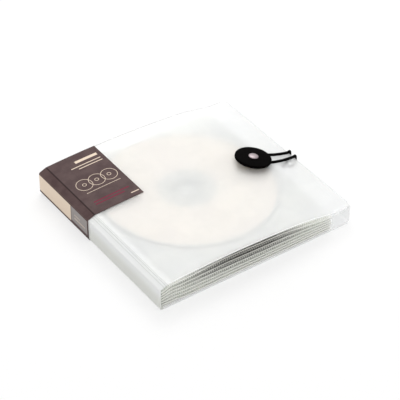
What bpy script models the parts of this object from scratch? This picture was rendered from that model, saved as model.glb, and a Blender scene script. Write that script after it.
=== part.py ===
"""A pocket album for optical discs.

One folded sheet of frosted polypropylene makes the front cover, the spine and the back cover
with its fore-edge wall. Six film leaves stand on a binding strip inside the spine, each with a
pocket on either side, and the top one holds a disc. A riveted button on the front cover takes an
elastic loop from the wall, and a printed card band is folded round the spine.

Sizes are in metres. X runs from the spine to the fore edge, Y from the tail edge to the head
edge, and Z up from the table. The profile functions work in the case's own frame, whose zero is
the outside of the spine, the tail edge and the table. The empties then place that frame so that
the world origin is the middle of the whole album's underside.
"""

import math

import bpy
from mathutils import Matrix, Vector

# Clearances between separate pieces
fit_gap = 0.0003
card_gap = 0.0002
crease_gap = 0.00015

# Case sheet
case_height = 0.142
sheet = 0.0008
spine_top = 0.0171
shoulder_run = 0.0052
shoulder_rise = 0.0022
fore_edge_top = 0.0146
cover_camber = 0.0036
fore_edge_dip = 0.0018
fore_edge_dip_start = 0.74
cover_corner_radius = 0.005
spine_foot_radius = 0.0024
wall_foot_radius = 0.0020
wall_end_inset = 0.001

# Printed card band
card = 0.00025
band_length = 0.060
band_reach = 0.0428
band_head_margin = 0.0003

# Binding strip
binding_sheet = 0.0004
binding_top = 0.0158
binding_foot_reach = 0.012

# Pocket leaves
leaf_count = 6
pocket_margin = 0.0030
fore_edge_space = 0.015
leaf_stagger = 0.0005
leaf_tail_margin = 0.0008
leaf_head_margin = 0.002
film = 0.0002
divider = 0.0003
slot = 0.0003
weld_margin = 0.0025
notch_radius = 0.012
shoulder_x = 0.010
leaf_sway = 0.00022
bottom_leaf_root = 0.0029
bottom_leaf_shoulder = 0.0027

# Disc
disc_radius = 0.060
disc_bore_radius = 0.0075
disc_thickness = 0.0012
disc_ring_radius = 0.017
disc_ring_height = 0.00015
disc_ring_width = 0.0010
disc_side_gap = 0.0020
disc_rim_top = 0.01790
disc_slide = 0.0034

# Button, rivet and washer
button_inset = 0.0278
button_radius = 0.0125
button_thickness = 0.0020
button_edge = 0.0006
neck_radius = 0.0040
rivet_shank_radius = 0.0016
rivet_head_radius = 0.00335
rivet_head_height = 0.0009
rivet_clench_radius = 0.0026
rivet_clench = 0.0005
washer_radius = 0.0045
washer_thickness = 0.0004

# Elastic loop
cord_diameter = 0.0017
hole_height = 0.0080
hole_spacing = 0.0060
loop_centre_y = 0.0645
cord_stand_off = 0.0015
knot_inset = 0.0060
knot_radius = 0.0019

# How finely round and curved shapes are divided
camber_steps = 22
corner_steps = 6
arc_steps = 6
leaf_steps = 14
notch_steps = 10
turned_steps = 48
disc_steps = 96

# Derived places: the disc sets the leaves' width, and they set the case's
disc_centre_x = shoulder_x + disc_side_gap + disc_radius
leaf_end = disc_centre_x + disc_radius + pocket_margin
case_width = leaf_end + fore_edge_space
button_x = case_width - button_inset
cord_radius = cord_diameter / 2
band_outside = card_gap + card
plate_low = band_outside
plate_high = plate_low + sheet
shoulder_top = spine_top + shoulder_rise
lower_crease = plate_low + spine_foot_radius
wall_top = fore_edge_top - sheet - fit_gap
leaf_root = sheet + fit_gap + binding_sheet + fit_gap
disc_slot = disc_thickness + disc_ring_height + 2 * fit_gap
cord_proud = cord_stand_off + cord_radius
centre_x = (case_width + cord_proud - band_outside) / 2
centre_y = case_height / 2


def clear_scene():
    for item in list(bpy.data.objects):
        bpy.data.objects.remove(item, do_unlink=True)
    for mesh in list(bpy.data.meshes):
        bpy.data.meshes.remove(mesh)


def principled(name, colour, roughness, metallic=0.0, transmission=0.0):
    material = bpy.data.materials.new(name)
    material.use_nodes = True
    shader = material.node_tree.nodes["Principled BSDF"]
    shader.inputs["Base Color"].default_value = (*colour, 1.0)
    shader.inputs["Roughness"].default_value = roughness
    shader.inputs["Metallic"].default_value = metallic
    shader.inputs["Transmission Weight"].default_value = transmission
    material.diffuse_color = (*colour, 1.0)
    return material


# Profiles in the case's own frame


def cover_top(x):
    """Height of the front cover's upper face: a straight fall to the fore edge, plus a camber,
    less a dip beyond the leaves, where the elastic holds the cover down. The last product is at
    most 4 / 27, so its factor makes the dip as deep as its name says."""
    share = (x - shoulder_run) / (case_width - shoulder_run)
    straight = shoulder_top + (fore_edge_top - shoulder_top) * share
    camber = cover_camber * 4 * share * (1 - share)
    past = max(share - fore_edge_dip_start, 0.0) / (1 - fore_edge_dip_start)
    dip = fore_edge_dip * 27 / 4 * past**2 * (1 - past)
    return straight + camber - dip


def cover_slope(x):
    step = 0.0005
    return (cover_top(x + step) - cover_top(x - step)) / (2 * step)


def arc(centre, radius, first, last, steps):
    points = []
    for i in range(steps + 1):
        angle = math.radians(first + (last - first) * i / steps)
        points.append((centre[0] + radius * math.cos(angle), centre[1] + radius * math.sin(angle)))
    return points


def cover_stations():
    """X of each section across the front cover, close together where its corners are round."""
    stations = []
    for i in range(corner_steps):
        turn = math.radians(90 * (1 - i / corner_steps))
        stations.append(case_width - cover_corner_radius * (1 - math.sin(turn)))
    flat_end = case_width - cover_corner_radius
    for i in range(camber_steps + 1):
        stations.append(flat_end + (shoulder_run - flat_end) * i / camber_steps)
    return stations


def case_line():
    """The outside of the folded sheet, from the cover's free edge over the spine to the wall's top."""
    line = [(x, cover_top(x)) for x in cover_stations()]
    marks = {"score": len(line) - 1}
    line.append((0.0, spine_top))
    marks["upper_crease"] = len(line) - 1
    foot = (spine_foot_radius, lower_crease)
    line += arc(foot, spine_foot_radius, 180, 270, arc_steps)
    marks["lower_crease"] = marks["upper_crease"] + 1
    wall_foot = (case_width - wall_foot_radius, plate_low + wall_foot_radius)
    marks["wall_foot"] = len(line)
    line += arc(wall_foot, wall_foot_radius, 270, 360, arc_steps)
    line.append((case_width, wall_top))
    marks["wall_top"] = len(line) - 1
    return line, marks


def direction(line, i):
    ahead = Vector(line[i + 1]) - Vector(line[i])
    return ahead.normalized()


def offset_line(line, distance):
    """The line moved towards the inside of the case, with each corner mitred."""
    moved = []
    for i, point in enumerate(line):
        before = direction(line, max(i - 1, 0))
        after = direction(line, min(i, len(line) - 2))
        inward = Vector((-before.y - after.y, before.x + after.x)).normalized()
        across = Vector((-before.y, before.x))
        moved.append(Vector(point) + inward * distance / inward.dot(across))
    return moved


def sheet_section(line, first, last, outer, inner, gap_first=0.0, gap_last=0.0):
    """Pairs of outer and inner points between two marks, drawn back from the creases."""
    outside = offset_line(line, outer)[first : last + 1]
    inside = offset_line(line, inner)[first : last + 1]
    start = direction(line, first) * gap_first
    end = direction(line, last - 1) * gap_last
    outside[0] = outside[0] + start
    inside[0] = inside[0] + start
    outside[-1] = outside[-1] - end
    inside[-1] = inside[-1] - end
    return list(zip(outside, inside))


# Mesh builders


def add_object(name, verts, faces, material, pivot, smooth=False):
    """A mesh object on its pivot, from points in the case's own frame."""
    mesh = bpy.data.meshes.new(name)
    origin = Vector(pivot["case_point"])
    mesh.from_pydata([Vector(v) - origin for v in verts], [], faces)
    mesh.update()
    mesh.materials.append(material)
    if smooth:
        mesh.shade_smooth()
        mesh.set_sharp_from_angle(angle=math.radians(30))
    item = bpy.data.objects.new(name, mesh)
    item.parent = pivot
    bpy.context.scene.collection.objects.link(item)
    return item


def add_pivot(name, case_point):
    pivot = bpy.data.objects.new(name, None)
    pivot.empty_display_size = 0.01
    pivot.location = Vector(case_point) - Vector((centre_x, centre_y, 0.0))
    pivot["case_point"] = list(case_point)
    bpy.context.scene.collection.objects.link(pivot)
    return pivot


def sheet_solid(name, section, limits, material, pivot):
    """A bent sheet: each section pair spans its own stretch of the album's height."""
    verts = []
    for (outer, inner), (low, high) in zip(section, limits):
        verts += [
            (outer.x, low, outer.y),
            (outer.x, high, outer.y),
            (inner.x, high, inner.y),
            (inner.x, low, inner.y),
        ]
    faces = [(3, 2, 1, 0)]
    for i in range(len(section) - 1):
        a = 4 * i
        b = a + 4
        faces += [
            (a, a + 1, b + 1, b),
            (a + 1, a + 2, b + 2, b + 1),
            (a + 2, a + 3, b + 3, b + 2),
            (a + 3, a, b, b + 3),
        ]
    last = 4 * (len(section) - 1)
    faces.append((last, last + 1, last + 2, last + 3))
    return add_object(name, verts, faces, material, pivot, smooth=True)


def turned_solid(name, profile, place, material, pivot, steps=turned_steps):
    """A solid of revolution. The profile is a closed ring of radius and height points that runs
    counter-clockwise, with radius to the right. Points on the axis are shared."""
    verts = []
    rings = []
    for radius, height in profile:
        count = steps if radius > 0 else 1
        ring = []
        for i in range(count):
            angle = 2 * math.pi * i / steps
            ring.append(len(verts))
            verts.append(place @ Vector((radius * math.cos(angle), radius * math.sin(angle), height)))
        rings.append(ring)
    faces = []
    for a, b in zip(rings, rings[1:] + rings[:1]):
        for i in range(steps):
            j = (i + 1) % steps
            if len(a) == 1 and len(b) == 1:
                continue
            if len(a) == 1:
                faces.append((a[0], b[j], b[i]))
            elif len(b) == 1:
                faces.append((a[i], a[j], b[0]))
            else:
                faces.append((a[i], a[j], b[j], b[i]))
    return add_object(name, verts, faces, material, pivot, smooth=True)


def cut(item, cutter):
    cutter.hide_render = True
    cutter.display_type = "WIRE"
    modifier = item.modifiers.new("cut_" + cutter.name, "BOOLEAN")
    modifier.operation = "DIFFERENCE"
    modifier.solver = "EXACT"
    modifier.object = cutter


# Case sheet and card band


def full_height(section):
    return [(0.0, case_height)] * len(section)


def cover_limits(section):
    """The front cover's height at each section, less where its free corners are round."""
    limits = []
    start = case_width - cover_corner_radius
    for outer, _ in section:
        past = min(max(outer.x - start, 0.0), cover_corner_radius)
        inset = cover_corner_radius - math.sqrt(cover_corner_radius**2 - past**2)
        limits.append((inset, case_height - inset))
    return limits


def add_case(line, marks, pivots, plastic):
    section = sheet_section(line, 0, marks["upper_crease"], 0.0, sheet, gap_last=crease_gap)
    cover = sheet_solid("front_cover", section, cover_limits(section), plastic, pivots["cover"])
    section = sheet_section(
        line, marks["upper_crease"], marks["lower_crease"], 0.0, sheet, crease_gap, crease_gap
    )
    sheet_solid("spine", section, full_height(section), plastic, pivots["spine"])
    section = sheet_section(
        line, marks["lower_crease"], marks["wall_top"], 0.0, sheet, gap_first=crease_gap
    )
    limits = full_height(section)
    for i in range(marks["wall_foot"] - marks["lower_crease"] + 1, len(limits)):
        limits[i] = (wall_end_inset, case_height - wall_end_inset)
    back = sheet_solid("back_cover", section, limits, plastic, pivots["case"])
    return cover, back


def band_line(line, marks):
    """The case line with the band's two free edges put in as points of their own."""
    first = next(i for i in range(marks["score"], 0, -1) if line[i - 1][0] > band_reach)
    front = [(band_reach, cover_top(band_reach))] + line[first : marks["upper_crease"] + 1]
    last = marks["wall_foot"]
    back = line[marks["lower_crease"] : last] + [(band_reach, plate_low)]
    return front + back, len(front) - 1


def add_band(line, marks, pivots, paper):
    high = case_height - band_head_margin
    low = high - band_length
    path, upper = band_line(line, marks)
    pieces = (
        ("band_front", 0, upper, 0.0, crease_gap, "cover"),
        ("band_spine", upper, upper + 1, crease_gap, crease_gap, "spine"),
        ("band_back", upper + 1, len(path) - 1, crease_gap, 0.0, "case"),
    )
    for name, first, last, gap_first, gap_last, body in pieces:
        section = sheet_section(
            path, first, last, -band_outside, -card_gap, gap_first, gap_last
        )
        sheet_solid(name, section, [(low, high)] * len(section), paper, pivots[body])


# Leaves and disc


def disc_slope():
    """The disc's tilt: high at its spine side, and below the rivet's foot at its other side."""
    spine_side = disc_centre_x - disc_radius
    foot = cover_top(button_x) - sheet - 2 * fit_gap - washer_thickness - rivet_clench
    rim = foot - 2 * fit_gap - film - rivet_clench
    return (rim - disc_rim_top) / (button_x - spine_side)


def disc_top(x):
    return disc_rim_top + disc_slope() * (x - disc_centre_x + disc_radius)


def ease(share):
    share = min(max(share, 0.0), 1.0)
    return share * share * (3 - 2 * share)


def top_leaf_low(x):
    """Underside of the leaf that holds the disc: straight under the disc and bent down at its root."""
    depth = film + slot + divider + fit_gap + disc_ring_height + disc_thickness
    straight = disc_top(x) - depth
    root = binding_top - depth - 2 * film
    rise = ease((x - leaf_root) / (shoulder_x - leaf_root))
    return root + (straight - root) * rise


def leaf_low(number, x):
    """Underside of a leaf. The thin ones share out the space below the leaf with the disc."""
    if number == leaf_count:
        return top_leaf_low(x)
    rise = ease((x - leaf_root) / (shoulder_x - leaf_root))
    start = bottom_leaf_root + (bottom_leaf_shoulder - bottom_leaf_root) * rise
    settle = ease((x - shoulder_x) / shoulder_x)
    bottom = start + (plate_high + fit_gap - start) * settle
    room = (top_leaf_low(x) - bottom) / (leaf_count - 1)
    wave = math.sin(math.pi * (x - leaf_root) / (leaf_end - leaf_root))
    sway = leaf_sway * wave * math.sin(2.1 * number) if number > 1 else 0.0
    return bottom + (number - 1) * room + sway


def leaf_reach(number):
    return leaf_end - leaf_stagger * ((number * 2) % leaf_count) / 2


def leaf_stations(reach):
    """X of each section across a leaf, with its pocket's welds and thumb notch picked out."""
    stations = {leaf_root, leaf_root + weld_margin, reach - weld_margin, reach}
    for i in range(1, 4):
        stations.add(leaf_root + weld_margin + (shoulder_x - leaf_root - weld_margin) * i / 3)
    for i in range(1, leaf_steps):
        stations.add(shoulder_x + (reach - weld_margin - shoulder_x) * i / leaf_steps)
    stations = {x for x in stations if abs(x - disc_centre_x) > notch_radius}
    for i in range(notch_steps + 1):
        stations.add(disc_centre_x - notch_radius * math.cos(math.pi * i / notch_steps))
    return sorted(stations)


def mouth(x):
    """Y of a leaf's open edge, with its half-round thumb notch."""
    aside = min(abs(x - disc_centre_x), notch_radius)
    return case_height - leaf_head_margin - math.sqrt(notch_radius**2 - aside**2)


def leaf_levels(number):
    """Heights above the leaf's underside of its films, its pockets and the divider between."""
    upper_slot = disc_slot if number == leaf_count else slot
    steps = (0.0, film, slot, divider, upper_slot, film)
    levels = []
    height = 0.0
    for step in steps:
        height += step
        levels.append(height)
    return levels


def add_leaf(number, pivot, material):
    """A leaf: two films welded to a divider on three sides, with both pockets open at the head."""
    levels = leaf_levels(number)
    stations = leaf_stations(leaf_reach(number))
    ends = (0, len(stations) - 1)
    welds = (1, len(stations) - 2)
    verts = []
    index = {}

    def point(i, side, level):
        key = (i, side, level)
        if key not in index:
            across = {
                "tail": leaf_tail_margin,
                "weld": leaf_tail_margin + weld_margin,
                "mouth": mouth(stations[i]),
            }
            height = leaf_low(number, stations[i]) + levels[level]
            index[key] = len(verts)
            verts.append((stations[i], across[side], height))
        return index[key]

    def strip(i, side_a, level_a, side_b, level_b):
        corners = ((i, side_a, level_a), (i + 1, side_a, level_a))
        corners += ((i + 1, side_b, level_b), (i, side_b, level_b))
        return tuple(point(*corner) for corner in corners)

    def upright(i, near, low, high, order):
        corners = ((near, low), ("mouth", low), ("mouth", high), (near, high))
        return tuple(point(i, *corner) for corner in corners[::order])

    def mouth_column(i):
        pocketed = welds[0] <= i <= welds[1]
        return [point(i, "mouth", level) for level in (range(6) if pocketed else (0, 5))]

    outside = (("tail", 5, "mouth", 5), ("mouth", 0, "tail", 0), ("tail", 0, "tail", 5))
    layers = [("mouth", low + 1, "mouth", low) for low in (0, 2, 4)]
    pockets = []
    for low in (1, 3):
        pockets += [("weld", low, "mouth", low), ("mouth", low + 1, "weld", low + 1)]
        pockets.append(("weld", low + 1, "weld", low))

    faces = []
    for i in range(ends[1]):
        faces += [strip(i, *edges) for edges in outside]
        if welds[0] <= i < welds[1]:
            faces += [strip(i, *edges) for edges in layers + pockets]
        else:
            faces.append(tuple(mouth_column(i) + mouth_column(i + 1)[::-1]))
    for low in (1, 3):
        faces.append(upright(welds[0], "weld", low, low + 1, 1))
        faces.append(upright(welds[1], "weld", low, low + 1, -1))
    faces.append(upright(ends[0], "tail", 0, 5, -1))
    faces.append(upright(ends[1], "tail", 0, 5, 1))
    return add_object(f"leaf_{number}", verts, faces, material, pivot, smooth=True)


def add_binding(line, marks, pivot, plastic):
    """The strip that carries the leaf roots: up the inside of the spine and along the back cover."""
    path = [(0.0, binding_top)] + line[marks["lower_crease"] : marks["wall_foot"]]
    path.append((binding_foot_reach, plate_low))
    outer = sheet + fit_gap
    section = sheet_section(path, 0, len(path) - 1, outer, outer + binding_sheet)
    limits = [(leaf_tail_margin, case_height - leaf_head_margin)] * len(section)
    sheet_solid("binding_strip", section, limits, plastic, pivot)


def add_disc(pivot, material):
    """A disc with its centre hole and raised stacking ring, tilted as its pocket is."""
    half = disc_ring_width / 2
    profile = [
        (disc_bore_radius, 0.0),
        (disc_ring_radius - half, 0.0),
        (disc_ring_radius - half, -disc_ring_height),
        (disc_ring_radius + half, -disc_ring_height),
        (disc_ring_radius + half, 0.0),
        (disc_radius, 0.0),
        (disc_radius, disc_thickness),
        (disc_bore_radius, disc_thickness),
    ]
    tilt = Matrix.Rotation(-math.atan(disc_slope()), 4, "Y")
    low = disc_top(disc_centre_x) - disc_thickness
    centre = Vector((disc_centre_x, centre_y + disc_slide, low))
    place = Matrix.Translation(centre) @ tilt
    return turned_solid("disc", profile, place, material, pivot, disc_steps)


# Button and elastic


def button_place():
    """The button's own frame: on the cover's upper face, square to it."""
    tilt = Matrix.Rotation(-math.atan(cover_slope(button_x)), 4, "Y")
    return Matrix.Translation((button_x, centre_y, cover_top(button_x))) @ tilt


def add_button(cover, pivot, black, metal, plastic):
    place = button_place()
    low = cord_diameter + 2 * fit_gap
    top = low + button_thickness
    bore = rivet_shank_radius + fit_gap
    button = [
        (bore, fit_gap),
        (neck_radius, fit_gap),
        (neck_radius, low),
        (button_radius - button_edge, low),
        (button_radius, low + button_edge),
        (button_radius, top - button_edge),
        (button_radius - button_edge, top),
        (bore, top),
    ]
    turned_solid("button", button, place, black, pivot)

    washer_top = -sheet - fit_gap
    washer_low = washer_top - washer_thickness
    washer = [
        (bore, washer_low),
        (washer_radius, washer_low),
        (washer_radius, washer_top),
        (bore, washer_top),
    ]
    turned_solid("rivet_washer", washer, place, plastic, pivot, turned_steps // 2)

    foot_top = washer_low - fit_gap
    foot = foot_top - rivet_clench
    seat = top + fit_gap
    rivet = [
        (0.0, foot),
        (rivet_clench_radius, foot),
        (rivet_clench_radius, foot_top),
        (rivet_shank_radius, foot_top),
        (rivet_shank_radius, seat),
    ]
    dome_steps = 5
    for i in range(dome_steps + 1):
        turn = math.pi / 2 * i / dome_steps
        radius = rivet_head_radius * math.cos(turn) if i < dome_steps else 0.0
        rivet.append((radius, seat + rivet_head_height * math.sin(turn)))
    turned_solid("rivet", rivet, place, metal, pivot, turned_steps // 2)

    reach = 4 * sheet
    hole = [(0.0, -reach), (bore, -reach), (bore, reach), (0.0, reach)]
    cut(cover, turned_solid("cutter_rivet", hole, place, plastic, pivot, turned_steps // 2))


def elastic_route():
    """Points of the elastic, from one end at the knot round the button's neck to the other."""
    rise = fit_gap + cord_radius
    outside = case_width + rise
    knot = Vector((case_width - knot_inset, loop_centre_y, hole_height))
    wrap = neck_radius + fit_gap + cord_radius

    def strand(side):
        y = loop_centre_y + side * hole_spacing / 2
        mid_wall = Vector((case_width - sheet, y, hole_height))
        inward = (knot - mid_wall).normalized()
        start = knot - inward * (knot_radius + fit_gap)
        over = cover_top(case_width) + rise
        return [
            start,
            knot - inward * (knot_radius + fit_gap + cord_diameter),
            Vector((case_width - sheet - cord_radius, y, hole_height)),
            Vector((case_width, y, hole_height)),
            Vector((case_width + 0.6 * cord_stand_off, y, hole_height + 0.3 * cord_radius)),
            Vector((case_width + cord_stand_off, y, hole_height + 1.4 * cord_radius)),
            Vector((outside + 0.1 * cord_radius, y, hole_height + 4 * cord_radius)),
            Vector((outside, y, fore_edge_top - cord_radius)),
            Vector((case_width + 0.85 * rise, y, over - 0.45 * rise)),
            Vector((case_width + 0.35 * rise, y, over + 0.02 * rise)),
            Vector((case_width - cord_diameter, y, cover_top(case_width - cord_diameter) + 1.06 * rise)),
        ]

    ring = []
    steps = 16
    for i in range(steps + 1):
        angle = math.radians(72 + (288 - 72) * i / steps)
        x = button_x + wrap * math.cos(angle)
        ring.append(Vector((x, centre_y + wrap * math.sin(angle), cover_top(x) + rise)))
    first = strand(1)
    last = strand(-1)[::-1]

    def between(a, b):
        points = []
        for share in (0.25, 0.5, 0.75):
            spot = a.lerp(b, share)
            spot.z = cover_top(spot.x) + rise * 1.03
            points.append(spot)
        return points

    return first + between(first[-1], ring[0]) + ring + between(ring[-1], last[0]) + last


def smooth_route(points, fine):
    """Points read from a smooth curve through the route's own points."""
    ends = [points[0] * 2 - points[1]] + points + [points[-1] * 2 - points[-2]]
    route = []
    for i in range(1, len(ends) - 2):
        p, q, r, s = ends[i - 1 : i + 3]
        steps = fine if (r - q).length > 0.5 * cord_diameter else 1
        for k in range(steps):
            t = k / steps
            square = (2 * p - 5 * q + 4 * r - s) * t**2
            cube = (3 * q - p - 3 * r + s) * t**3
            route.append(0.5 * (2 * q + (r - p) * t + square + cube))
    route.append(points[-1])
    return route


def add_elastic(back, pivot, black, plastic):
    """The elastic cord on its whole route, the knot that joins its ends and its holes in the wall."""
    points = smooth_route(elastic_route(), 2)
    curve = bpy.data.curves.new("elastic_loop", "CURVE")
    curve.dimensions = "3D"
    curve.bevel_depth = cord_radius
    curve.bevel_resolution = 2
    curve.use_fill_caps = True
    curve.materials.append(black)
    spline = curve.splines.new("POLY")
    spline.points.add(len(points) - 1)
    origin = Vector(pivot["case_point"])
    for slot_point, place in zip(spline.points, points):
        slot_point.co = (*(place - origin), 1.0)
    cord = bpy.data.objects.new("elastic_loop", curve)
    cord.parent = pivot
    bpy.context.scene.collection.objects.link(cord)

    knot_place = Matrix.Translation((case_width - knot_inset, loop_centre_y, hole_height))
    profile = [(0.0, -knot_radius)]
    knot_steps = 8
    for i in range(1, knot_steps):
        turn = math.pi * (i / knot_steps - 0.5)
        profile.append((knot_radius * math.cos(turn), knot_radius * math.sin(turn)))
    profile.append((0.0, knot_radius))
    turned_solid("elastic_knot", profile, knot_place, black, pivot, 16)

    radius = cord_radius + fit_gap
    for name, side in (("cutter_head_hole", 1), ("cutter_tail_hole", -1)):
        y = loop_centre_y + side * hole_spacing / 2
        across = Matrix.Translation((case_width, y, hole_height)) @ Matrix.Rotation(math.pi / 2, 4, "Y")
        reach = 3 * sheet
        hole = [(0.0, -reach), (radius, -reach), (radius, reach), (0.0, reach)]
        cut(back, turned_solid(name, hole, across, plastic, pivot, turned_steps // 2))


def main():
    clear_scene()
    plastic = principled("frosted_polypropylene", (0.86, 0.87, 0.88), 0.42, transmission=0.6)
    film_material = principled("pocket_film", (0.80, 0.82, 0.80), 0.30, transmission=0.7)
    cream = principled("disc_face", (0.92, 0.89, 0.84), 0.35)
    black = principled("black_plastic", (0.012, 0.011, 0.011), 0.45)
    cord_black = principled("black_elastic", (0.010, 0.010, 0.010), 0.80)
    metal = principled("rivet_metal", (0.78, 0.77, 0.78), 0.25, metallic=1.0)
    paper = principled("printed_card", (0.107, 0.072, 0.072), 0.60)

    line, marks = case_line()
    band_corner = offset_line(line, -band_outside)[marks["upper_crease"]]
    pivots = {
        "case": add_pivot("case_frame", (0.0, 0.0, 0.0)),
        "spine": add_pivot("spine_hinge", (-band_outside, centre_y, lower_crease)),
        "cover": add_pivot("front_cover_hinge", (band_corner.x, centre_y, band_corner.y)),
    }

    cover, back = add_case(line, marks, pivots, plastic)
    add_band(line, marks, pivots, paper)
    add_binding(line, marks, pivots["case"], plastic)
    for number in range(1, leaf_count + 1):
        add_leaf(number, pivots["case"], film_material)
    add_disc(pivots["case"], cream)
    add_button(cover, pivots["cover"], black, metal, plastic)
    add_elastic(back, pivots["case"], cord_black, plastic)


main()
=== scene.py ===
"""The looks of a pocket album for optical discs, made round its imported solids.

Lengths are in metres. The profile functions work in the case's own frame, as the solids' source
does: X from the outside of the spine to the fore edge, Y from the tail edge to the head edge, and
Z up from the table. at() moves such a point into the row frame.
"""

import math

import bmesh
import bpy
import numpy as np
from mathutils import Matrix, Vector


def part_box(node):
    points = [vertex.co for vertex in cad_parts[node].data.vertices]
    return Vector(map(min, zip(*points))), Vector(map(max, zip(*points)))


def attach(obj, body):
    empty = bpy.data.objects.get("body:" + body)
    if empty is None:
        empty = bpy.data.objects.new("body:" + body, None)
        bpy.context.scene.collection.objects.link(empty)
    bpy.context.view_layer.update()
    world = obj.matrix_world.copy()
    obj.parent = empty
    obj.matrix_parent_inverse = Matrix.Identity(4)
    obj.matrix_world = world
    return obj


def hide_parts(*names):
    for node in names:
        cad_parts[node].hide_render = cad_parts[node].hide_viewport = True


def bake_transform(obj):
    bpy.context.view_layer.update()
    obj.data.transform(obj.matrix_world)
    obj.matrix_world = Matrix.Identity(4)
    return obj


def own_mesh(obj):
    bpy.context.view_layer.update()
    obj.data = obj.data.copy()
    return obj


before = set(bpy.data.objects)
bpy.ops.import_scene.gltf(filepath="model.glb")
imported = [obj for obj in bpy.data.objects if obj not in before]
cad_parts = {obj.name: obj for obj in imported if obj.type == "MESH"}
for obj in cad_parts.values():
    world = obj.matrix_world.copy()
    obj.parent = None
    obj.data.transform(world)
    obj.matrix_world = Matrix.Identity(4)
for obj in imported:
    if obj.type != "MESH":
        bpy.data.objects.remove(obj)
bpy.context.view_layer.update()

# Where the case lies, from its solids
spine_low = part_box("spine")[0]
back_low, back_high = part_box("back_cover")
disc_low, disc_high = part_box("disc")
case_width = back_high.x - spine_low.x
case_height = back_high.y - back_low.y

# Case sheet
sheet = 0.0008
plate_low = back_low.z
spine_top = 0.0171
shoulder_run = 0.0052
shoulder_top = 0.0193
fore_edge_top = 0.0146
cover_camber = 0.0036
fore_edge_dip = 0.0018
fore_edge_dip_start = 0.74
cover_corner_radius = 0.005
upper_crease_radius = 0.0010
spine_foot_radius = 0.0024
wall_foot_radius = 0.0020
wall_top = 0.0135
wall_end_inset = 0.001
rim_rounding = 0.00012
seam_below_crease = 0.0012
cut_rim = (0.00016, 0.00004)
tail_rim = (0.0007, 0.0003)
sheet_strips = 18

# Pressed lines beside the cover's fold: X of each, half its width and its depth
score_lines = (0.0031, 0.0046, 0.0057)
score_half_width = 0.00035
score_depth = 0.00014

# Printed card band. Its ink is laid out in mm
card = 0.00025
card_gap = 0.0002
band_length = 0.060
band_reach = 0.0428
band_head_margin = 0.0003
ink_softness = 0.06

# Leaves: two films welded to a divider, with a pocket on either side
leaf_count = 6
leaf_root = 0.0018
leaf_stagger = 0.0005
leaf_tail_margin = 0.0008
leaf_head_margin = 0.002
film = 0.0002
divider = 0.0003
slot = 0.0003
weld_margin = 0.0025
weld_gap = 0.00002
pocket_rise = 0.010
# Painted light on the divider near the open head edge: full at the first distance from it, gone at the
# second
head_painted_light = (0.006, 0.030)
notch_radius = 0.012
shoulder_x = 0.010
leaf_sway = 0.00022
tail_lifts = (0.0, 0.0, -0.0003, 0.0003, 0.0020, 0.0036)
lift_from_root = 0.046
lift_from_end = 0.045
lift_depth = 0.009
bottom_leaf_root = 0.0029
bottom_leaf_shoulder = 0.0027
binding_top = 0.0158

# Ribs pressed into the leaves' tail welds
rib_pitch = 0.00156
rib_width = 0.00075
rib_proud = 0.00008
rib_reach = 0.0032

# Where painted shade darkens the tail welds (at mid-length and high in the stack) and where painted light
# lifts them (toward the fore edge), each as the start and end of a fade
painted_shade_from = (0.006, 0.062)
painted_shade_to = (0.078, 0.124)
painted_shade_heights = (0.0045, 0.0145)
painted_light_from = (0.108, 0.138)
weld_fade = 0.0008

# Button and rivet
fit_gap = 0.0003
cord_diameter = 0.0017
button_inset = 0.0278
button_radius = 0.0125
button_thickness = 0.0020
neck_radius = 0.0040
rivet_shank_radius = 0.0016
rivet_head_radius = 0.00335
rivet_head_height = 0.0009
rivet_clench_radius = 0.0026
rivet_clench = 0.0005
washer_thickness = 0.0004

# Elastic
hole_height = 0.0080
hole_spacing = 0.0060
loop_centre_y = 0.0645
cord_stand_off = 0.0015
cord_swell = 0.00012
loop_slack = 0.0012
braid_pitch = 0.0011
knot_inset = 0.0060
knot_radius = 0.0019
knot_strand_radius = 0.0008
knot_steps = 96

# Disc
disc_radius = 0.060
disc_thickness = 0.0012
disc_ring_height = 0.00015
disc_rim_top = 0.0179
hub_core = (0.0095, 0.0120)
hub_edge = (0.0188, 0.0208)
hub_gloss = (0.0196, 0.0204)
print_edge = (0.0578, 0.0594)
track_pitch = 2 * math.pi / 9000
disc_centre = (disc_low + disc_high) / 2

# Camera, fitted to the case's edges and the disc, and the light
camera_place = (-0.4703, -0.7164, 0.7847)
camera_aim = (0.0758, 0.06525, 0.010)
lens = 168.96
lamp_place = (0.55, 0.75, 1.1)
lamp_size = (0.9, 0.7)
lamp_power = 9.0
room_light = 0.85
floor_reach = 3.0
floor_tone = 0.93
floor_tone_seen = 0.29
floor_glow_seen = 0.68

cord_radius = cord_diameter / 2
centre_y = case_height / 2
button_x = case_width - button_inset
case_corner = Vector((spine_low.x, back_low.y, 0.0))
disc_x = disc_centre.x - case_corner.x
disc_y = disc_centre.y - case_corner.y
disc_slot = disc_thickness + disc_ring_height + 2 * fit_gap
leaf_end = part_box("leaf_6")[1].x - case_corner.x


def at(x, y, z):
    """A point of the case's own frame, in the row frame."""
    return case_corner + Vector((x, y, z))


# Profile of the folded sheet


def cover_top(x):
    """Height of the front cover's upper face, as in the solids' source."""
    share = (x - shoulder_run) / (case_width - shoulder_run)
    straight = shoulder_top + (fore_edge_top - shoulder_top) * share
    camber = cover_camber * 4 * share * (1 - share)
    past = max(share - fore_edge_dip_start, 0.0) / (1 - fore_edge_dip_start)
    dip = fore_edge_dip * 27 / 4 * past**2 * (1 - past)
    return straight + camber - dip


def cover_slope(x):
    step = 0.0005
    return (cover_top(x + step) - cover_top(x - step)) / (2 * step)


def fillet(before, corner, after, radius, steps=10):
    """Points of the arc that rounds a corner off."""
    back = (before - corner).normalized()
    ahead = (after - corner).normalized()
    half = back.angle(ahead) / 2
    reach = radius / math.tan(half)
    centre = corner + (back + ahead).normalized() * (radius / math.sin(half))
    first = (corner + back * reach - centre).normalized()
    last = (corner + ahead * reach - centre).normalized()
    return [centre + first.slerp(last, i / steps) * radius for i in range(steps + 1)]


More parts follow.
